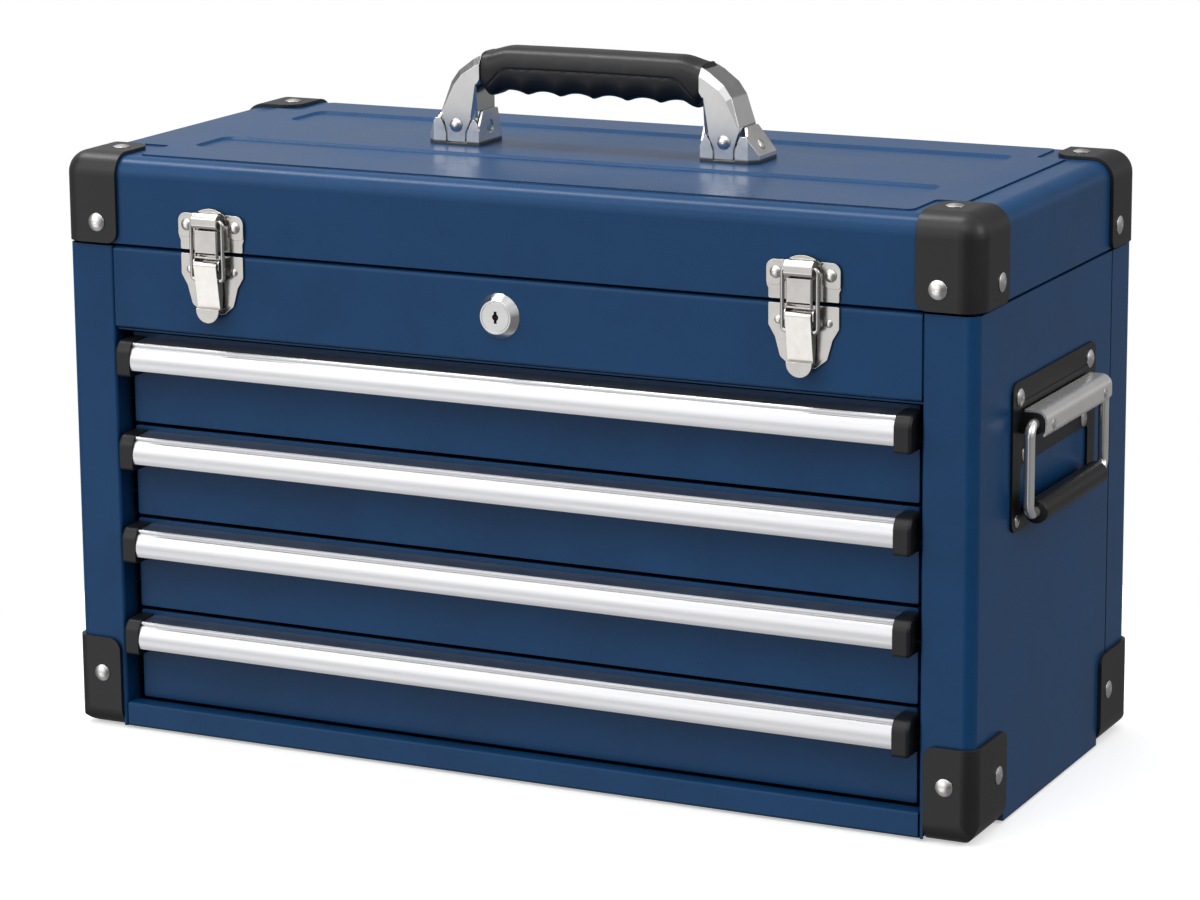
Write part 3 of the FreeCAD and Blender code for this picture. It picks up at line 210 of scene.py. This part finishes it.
def moulded(name, base, rough=0.42, grain=1500.0, depth=0.00004, spec=0.35, bevel=0.0005):
    """Moulded plastic: fine spark-eroded grain, slightly uneven sheen."""
    m, t = material(name)
    plain = t.mapping((1, 1, 1))
    g = t.noise(plain, grain, 3.0, 0.6)
    v = t.voronoi(plain, grain * 0.9)
    cloud = t.noise(plain, 30.0, 3.0, 0.6)
    col = t.ramp(cloud, [(0.3, tuple(c * 0.88 for c in base)), (0.7, tuple(c * 1.15 for c in base))])
    r = t.remap(cloud, 0.3, 0.7, rough - 0.035, rough + 0.035)
    r = t.math("ADD", r, t.remap(g, 0.3, 0.7, -0.04, 0.04))
    n = t.bevel(bevel)
    n = t.bump(t.math("ADD", g, t.math("MULTIPLY", v, 0.5)), depth, 0.5, n)
    t.principled(Base_Color=col, Roughness=r, Normal=n, Specular_IOR_Level=spec)
    return m


def metal(name, base, rough=0.25, brush=None, scr=0.5, bevel=0.0004, tint_var=0.05, aniso=0.0, crevice_shade_amt=0.75, metallic=1.0, painted_shade_band=None):
    """Plated or bare metal, with painted shade in its creases. brush gives the mapping scale of its fine drawn
    lines; the band argument gives the heights below which a dark lower edge is painted as shade.
    """
    m, t = material(name)
    plain = t.mapping((1, 1, 1))
    cloud = t.noise(plain, 60.0, 3.0, 0.6)
    col = t.ramp(cloud, [(0.3, tuple(c * (1 - tint_var) for c in base)), (0.7, tuple(min(1, c * (1 + tint_var)) for c in base))])
    # painted shade: ambient occlusion darkens the colour in creases, recesses and between parts
    ao = t.new("ShaderNodeAmbientOcclusion")
    ao.samples = 6
    ao.inputs["Distance"].default_value = 0.0035
    crevice_shade = t.remap(ao.outputs["AO"], 0.15, 0.80, crevice_shade_amt, 0.0)
    col = t.mix(crevice_shade, col, tuple(c * 0.16 for c in base))
    # painted shade: below these heights the colour goes near black, a dark lower edge in place of the shaded bottom
    # flange
    if painted_shade_band:
        xyz = t.new("ShaderNodeSeparateXYZ")
        t.link(plain, xyz.inputs[0])
        col = t.mix(t.remap(xyz.outputs["Z"], painted_shade_band[0], painted_shade_band[1], 0.90, 0.0), col, tuple(c * 0.07 for c in base))
    lines = t.noise(t.mapping(brush if brush else (300, 300, 300)), 1.0, 2.0, 0.5)
    r = t.remap(lines, 0.3, 0.7, max(0.03, rough - 0.03), rough + 0.03)
    r = t.math("ADD", r, t.remap(cloud, 0.3, 0.7, -0.02, 0.03))
    n = t.bevel(bevel, 8) if bevel else None
    n = t.bump(lines, 0.00002 if brush else 0.000006, scr, n)
    p = t.principled(Base_Color=col, Roughness=r, Normal=n, Metallic=metallic)
    if aniso:
        p.inputs["Anisotropic"].default_value = aniso
    return m


NAVY = (0.0065, 0.0480, 0.1340)
paint = powder_coat("navy_powder_coat", NAVY, rough=0.28, spec=0.17)
paint_in = powder_coat("navy_powder_coat_inside", tuple(c * 0.9 for c in NAVY), rough=0.42, spec=0.22)
black_caps = moulded("black_cap_plastic", (0.0120, 0.0120, 0.0128), rough=0.40, spec=0.38)
black_grip = moulded("black_grip_plastic", (0.0075, 0.0075, 0.0082), rough=0.38, grain=1100.0, spec=0.34)
black_ends = moulded("black_end_plastic", (0.0095, 0.0095, 0.0105), rough=0.38, spec=0.34)
plate_black = powder_coat("black_plate_paint", (0.0085, 0.0088, 0.0100), rough=0.36, spec=0.30)
pull_alu = metal("satin_aluminium", (0.66, 0.66, 0.67), rough=0.34, brush=(8, 900, 900), scr=0.25, bevel=0.0003, tint_var=0.02, crevice_shade_amt=0.5)
nickel = metal("satin_nickel", (0.66, 0.635, 0.60), rough=0.22, scr=0.3, bevel=0.0003, crevice_shade_amt=0.85)
rivet_metal = metal("rivet_nickel", (0.74, 0.725, 0.70), rough=0.27, bevel=0.0003)
bright = metal("bright_plate", (0.74, 0.73, 0.715), rough=0.19, scr=0.3, bevel=0.0003)
cover_steel = metal("cover_plate", (0.84, 0.825, 0.80), rough=0.27, brush=(1, 1, 1), scr=0.0, bevel=0, tint_var=0.015, crevice_shade_amt=0.0, metallic=0.68)
bail_steel = metal("bail_wire", (0.88, 0.87, 0.85), rough=0.17, scr=0.2, bevel=0.00004, crevice_shade_amt=0.5, metallic=0.85)
# the foot plates get painted shade along their lowest 2-3 mm
foot_plate = metal("foot_plate", (0.80, 0.785, 0.765), rough=0.19, scr=0.3, bevel=0.0003, metallic=0.85, painted_shade_band=(FOOT_Z + 0.0016, FOOT_Z + 0.0026))
lock_bright = metal("lock_bright", (0.70, 0.695, 0.685), rough=0.15, bevel=0.0003, crevice_shade_amt=0.9)
lock_face = metal("lock_face", (0.66, 0.655, 0.65), rough=0.30, bevel=0.0003)
zinc = metal("zinc_plate", (0.62, 0.63, 0.64), rough=0.36, brush=(40, 700, 700), tint_var=0.12)
hinge_steel = metal("hinge_steel", (0.66, 0.66, 0.66), rough=0.26, brush=(30, 1500, 1500))


def give(mat, *names):
    for n in names:
        o = N[n]
        o.data.materials.clear()
        o.data.materials.append(mat)


give(paint, "side_panel_left", "side_panel_right", "back_panel", "base_pan", "header_rail", "lid_skin", "lid_end_left", "lid_end_right")
give(paint_in, "compartment_floor", "runner_frames")
give(black_caps, "corner_caps_lower", "corner_caps_upper")
give(black_grip, "handle_grip", "side_handle_grip_left", "side_handle_grip_right")
give(plate_black, "side_handle_plate_left", "side_handle_plate_right")
give(nickel, "latch_base_plates", "latch_catches", "latch_lever_left", "latch_lever_right", "latch_bail_left", "latch_bail_right",
     "latch_lever_pins")
give(cover_steel, "side_handle_seats")
give(rivet_metal, "corner_rivets_lower", "corner_rivets_upper", "fitting_rivets_cabinet", "fitting_rivets_lid", "handle_rivets")
give(foot_plate, "handle_brackets")
give(bail_steel, "side_handle_bail_left", "side_handle_bail_right")
give(bright, "handle_legs", "handle_pins")
# the grip's own mesh follows below; the CAD solid keeps the same plastic
give(lock_bright, "lock_barrel", "lock_nut")
give(lock_face, "lock_plug", "lock_cam")
give(hinge_steel, "hinge_leaf_lower", "hinge_leaf_upper", "hinge_pin")
give(zinc, "cabinet_runners")
for k in (1, 2, 3, 4):
    give(paint, "drawer_%d_tray" % k)
    give(pull_alu, "drawer_%d_pull" % k)
    give(black_ends, "drawer_%d_end_caps" % k)
    give(zinc, "drawer_%d_runners" % k)

# ------------------------------------------------------------------ the top handle's grip
# one moulded piece: a rounded bar with finger hollows below, a parting groove round its face,
# and black fillers in the open channels of the legs
GY = 117.8


def smooth(a, b, v):
    v = max(0.0, min(1.0, (v - a) / (b - a)))
    return v * v * (3 - 2 * v)


def leg_top(ax):
    pts = [(60.0, 366.9), (64.4, 364.6), (69.4, 361.9), (77.7, 355.7)]
    for (x0, z0), (x1, z1) in zip(pts, pts[1:]):
        if ax <= x1:
            return z0 + (z1 - z0) * (ax - x0) / (x1 - x0)
    return pts[-1][1]


def grip_section(x, m):
    """Points round the grip at x, from the front middle upwards and round, in mm."""
    ax = abs(x)
    if ax > 64.35:
        u = (ax - 64.35) / 2.0
        zt = leg_top(ax) + 1.5 - 0.8 * u * u
        zb = leg_top(ax) - 0.7
        half = 7.4 - 1.2 * u * u
        nt, nb = 3.0, 3.0
    else:
        zt = 369.5 - 0.25 * (ax / 50.0) ** 2 - 3.3 * smooth(49.0, 67.0, ax)
        wave = abs(math.sin(math.pi * x / 19.6))
        fing = wave ** 0.85 * (1.0 - smooth(52.5, 58.8, ax))
        zb = 343.5 + 2.1 * fing - 1.3 * smooth(55.0, 61.0, ax) + 3.4 * smooth(60.5, 64.3, ax)
        half = 12.15 - 0.35 * smooth(56.0, 64.3, ax)
        nt, nb = 2.7, 3.3
    out = []
    for k in range(m):
        t = 2 * math.pi * k / m
        c, s_ = math.cos(t), math.sin(t)
        n = nt if s_ > 0 else nb
        cy = abs(c) ** (2.0 / n) * (1 if c > 0 else -1)
        cz = abs(s_) ** (2.0 / n) * (1 if s_ > 0 else -1)
        zc = 0.5 * (zt + zb)
        z = zc + 0.5 * (zt - zb) * cz
        y = -half * cy
        if ax <= 64.35:
            # finger hollows run up onto both faces, fading out
            low = smooth(357.0, 345.5, z) if z < 357.0 else 0.0
            y *= 1.0 - 0.075 * fing * low
            # parting groove and the slightly sunk field below it
            zg = 358.4 - 12.0 * smooth(48.0, 66.0, ax) - 0.4 * (ax / 50.0) ** 2
            d = z - zg
            cut = 0.42 * math.exp(-(d / 0.42) ** 2) + 0.16 * (1.0 - smooth(-0.5, 0.5, d))
            face = smooth(0.35, 0.8, abs(cy))
            y -= math.copysign(cut * face, y) if abs(y) > 1e-6 else 0.0
        out.append(P(x, GY + y, z))
    return out


def build_grip():
    m = 232
    xs = []
    k = 200
    mid = [-64.0 + 128.0 * i / k for i in range(k + 1)]
    xs = [-66.3, -66.0, -65.6, -65.1, -64.7, -64.4, -64.3] + mid + [64.3, 64.4, 64.7, 65.1, 65.6, 66.0, 66.3]
    verts, faces = [], []
    for x in xs:
        verts += grip_section(x, m)
    for i in range(len(xs) - 1):
        for k in range(m):
            a0, a1 = i * m + k, i * m + (k + 1) % m
            faces.append((a0, a0 + m, a1 + m, a1))
    faces.append(tuple(range(m)))
    n0 = (len(xs) - 1) * m
    faces.append(tuple(n0 + k for k in reversed(range(m))))
    # fillers in the legs, one each side
    fill = [(63.6, 361.2), (63.6, 353.6), (66.2, 353.4), (70.0, 351.6), (73.4, 351.8), (72.2, 356.2), (68.6, 359.2)]
    for sx in (1, -1):
        rings = []
        for (y, g) in ((109.8, 0.6), (110.4, 0.0), (124.8, 0.0), (125.4, 0.6)):
            cx, cz = 69.0, 355.5
            ring = []
            for (px, pz) in fill:
                d = Vector((cx - px, cz - pz))
                d.normalize()
                ring.append(P(sx * (px + d.x * g), y, pz + d.y * g))
            rings.append(ring)
        base = len(verts)
        for r_ in rings:
            verts += r_
        q = len(fill)
        for i in range(3):
            for k in range(q):
                a0, a1 = base + i * q + k, base + i * q + (k + 1) % q
                f = (a0, a0 + q, a1 + q, a1)
                faces.append(f if sx > 0 else f[::-1])
        f = tuple(base + k for k in range(q))
        faces.append(f if sx > 0 else f[::-1])
        f = tuple(base + 3 * q + k for k in reversed(range(q)))
        faces.append(f if sx > 0 else f[::-1])
    me = bpy.data.meshes.new("grip_moulding")
    me.from_pydata(verts, [], faces)
    me.validate()
    import bmesh
    bm = bmesh.new()
    bm.from_mesh(me)
    bmesh.ops.recalc_face_normals(bm, faces=bm.faces)
    bm.to_mesh(me)
    bm.free()
    for p in me.polygons:
        p.use_smooth = True
    me.set_sharp_from_angle(angle=math.radians(50))
    me.materials.append(black_grip)
    o = bpy.data.objects.new("grip_moulding", me)
    bpy.context.scene.collection.objects.link(o)
    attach(o, "top_handle")
    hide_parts("handle_grip")
    return o


build_grip()

# ------------------------------------------------------------------ floor
floor_mat, t = material("floor_pale")
c = t.noise(t.mapping((1, 1, 1)), 3.0, 2.0, 0.5)
col = t.ramp(c, [(0.3, (0.84, 0.84, 0.842)), (0.7, (0.86, 0.86, 0.862))])
fp = t.principled(Base_Color=col, Roughness=0.75, Specular_IOR_Level=0.1)
fp.inputs["Emission Color"].default_value = (1, 1, 1, 1)
fp.inputs["Emission Strength"].default_value = 0.42
me = bpy.data.meshes.new("floor")
R_FLOOR = 0.43
ring = [(R_FLOOR * math.cos(2 * math.pi * k / 96), R_FLOOR * math.sin(2 * math.pi * k / 96), 0.0) for k in range(96)]
me.from_pydata(ring, [], [tuple(range(96))])
floor = bpy.data.objects.new("floor", me)
bpy.context.scene.collection.objects.link(floor)
me.materials.append(floor_mat)
# the floor carries the soft shadow but throws no light back on the box
floor.visible_glossy = False
floor.visible_diffuse = False

# ------------------------------------------------------------------ light
scene = bpy.context.scene
world = bpy.data.worlds.new("studio")
scene.world = world
world.use_nodes = True
wt = world.node_tree
wt.nodes.clear()
wo = wt.nodes.new("ShaderNodeOutputWorld")
bg_cam = wt.nodes.new("ShaderNodeBackground")
bg_cam.inputs["Color"].default_value = (1, 1, 1, 1)
bg_cam.inputs["Strength"].default_value = 1.0
bg_env = wt.nodes.new("ShaderNodeBackground")
geo = wt.nodes.new("ShaderNodeTexCoord")
sep = wt.nodes.new("ShaderNodeSeparateXYZ")
wt.links.new(geo.outputs["Generated"], sep.inputs[0])
rmp = wt.nodes.new("ShaderNodeValToRGB")
el = rmp.color_ramp.elements
el[0].position, el[0].color = 0.0, (0.18, 0.18, 0.185, 1)
el[1].position, el[1].color = 1.0, (0.90, 0.90, 0.91, 1)
for pos, v in ((0.47, 0.22), (0.53, 0.38), (0.62, 0.52)):
    e = el.new(pos)
    e.color = (v, v * 1.005, v * 1.02, 1)
half = wt.nodes.new("ShaderNodeMapRange")
half.inputs["From Min"].default_value = -1.0
wt.links.new(sep.outputs["Z"], half.inputs["Value"])
wt.links.new(half.outputs["Result"], rmp.inputs["Fac"])


def lobe(direction, lo, hi, inside, prev):
    """Scales the studio's brightness inside a soft cone round a direction."""
    dn = Vector(direction).normalized()
    dot = wt.nodes.new("ShaderNodeVectorMath")
    dot.operation = "DOT_PRODUCT"
    wt.links.new(geo.outputs["Generated"], dot.inputs[0])
    dot.inputs[1].default_value = dn
    mr = wt.nodes.new("ShaderNodeMapRange")
    mr.interpolation_type = "SMOOTHSTEP"
    mr.inputs["From Min"].default_value = lo
    mr.inputs["From Max"].default_value = hi
    mr.inputs["To Min"].default_value = 1.0
    mr.inputs["To Max"].default_value = inside
    wt.links.new(dot.outputs["Value"], mr.inputs["Value"])
    if prev is None:
        return mr.outputs["Result"]
    mu = wt.nodes.new("ShaderNodeMath")
    mu.operation = "MULTIPLY"
    wt.links.new(prev, mu.inputs[0])
    wt.links.new(mr.outputs["Result"], mu.inputs[1])
    return mu.outputs[0]


gain = lobe((0.45, -0.87, 0.10), 0.88, 0.985, 0.40, None)       # dark behind the camera
gain = lobe((-0.52, -0.83, -0.08), 0.72, 0.975, 3.6, gain)      # a low bright wall in front, to the left
gain = lobe((0.05, 0.875, 0.46), 0.86, 0.96, 0.38, gain)        # dark above the backdrop
gain = lobe((0.26, -0.61, 0.74), 0.86, 0.97, 1.7, gain)         # a bright panel high in front
gain = lobe((-0.90, -0.10, 0.42), 0.86, 0.97, 0.40, gain)       # dark to the left
gain = lobe((-0.45, -0.58, -0.68), 0.82, 0.97, 2.3, gain)       # pale floor in front, seen by faces that look down
wt.links.new(rmp.outputs["Color"], bg_env.inputs["Color"])
wt.links.new(gain, bg_env.inputs["Strength"])
lp = wt.nodes.new("ShaderNodeLightPath")
mx = wt.nodes.new("ShaderNodeMixShader")
wt.links.new(lp.outputs["Is Camera Ray"], mx.inputs[0])
wt.links.new(bg_env.outputs[0], mx.inputs[1])
wt.links.new(bg_cam.outputs[0], mx.inputs[2])
wt.links.new(mx.outputs[0], wo.inputs["Surface"])


def area(name, loc, target, size, power, color=(1, 1, 1)):
    l = bpy.data.lights.new(name, "AREA")
    l.shape = "RECTANGLE"
    l.size, l.size_y = size
    l.energy = power
    l.color = color
    o = bpy.data.objects.new(name, l)
    scene.collection.objects.link(o)
    o.location = loc
    d = Vector(target) - Vector(loc)
    o.rotation_euler = d.to_track_quat("-Z", "Y").to_euler()
    return o


area("top_front", (-0.20, -1.00, 1.45), (0, 0, 0.28), (1.5, 0.6), 5.5)
area("key_left", (-1.8, -1.7, 1.5), (0, 0, 0.25), (1.2, 1.2), 6)
area("edge_strip", (-0.70, -0.03, 1.75), (0, -0.12, 0.30), (0.32, 1.3), 17)
area("side_right", (2.3, 0.1, 1.3), (0.1, 0, 0.15), (1.2, 1.2), 16)

# ------------------------------------------------------------------ camera at the photograph's angle
cam = bpy.data.cameras.new("photo_camera")
cam.sensor_width = 36.0
cam.sensor_fit = "HORIZONTAL"
cam.lens = 123.50
cam.shift_x = 0.0399
cam.shift_y = -0.0603
cam.clip_start = 0.05
cam.clip_end = 50.0
co = bpy.data.objects.new("photo_camera", cam)
scene.collection.objects.link(co)
yaw, pitch, roll = 0.464961, 0.211108, 0.010148
f = Vector((-math.sin(yaw) * math.cos(pitch), math.cos(yaw) * math.cos(pitch), -math.sin(pitch)))
r = Vector((math.cos(yaw), math.sin(yaw), 0.0))
d = f.cross(r)
r2 = math.cos(roll) * r + math.sin(roll) * d
d2 = -math.sin(roll) * r + math.cos(roll) * d
rot = Matrix((r2, -d2, -f)).transposed().to_4x4()
co.matrix_world = Matrix.Translation(P(948.270, -1830.292, 656.347)) @ rot
scene.camera = co

scene.view_settings.view_transform = "Standard"
scene.view_settings.look = "None"
scene.view_settings.exposure = 0.0
scene.view_settings.gamma = 1.0

bpy.context.view_layer.update()
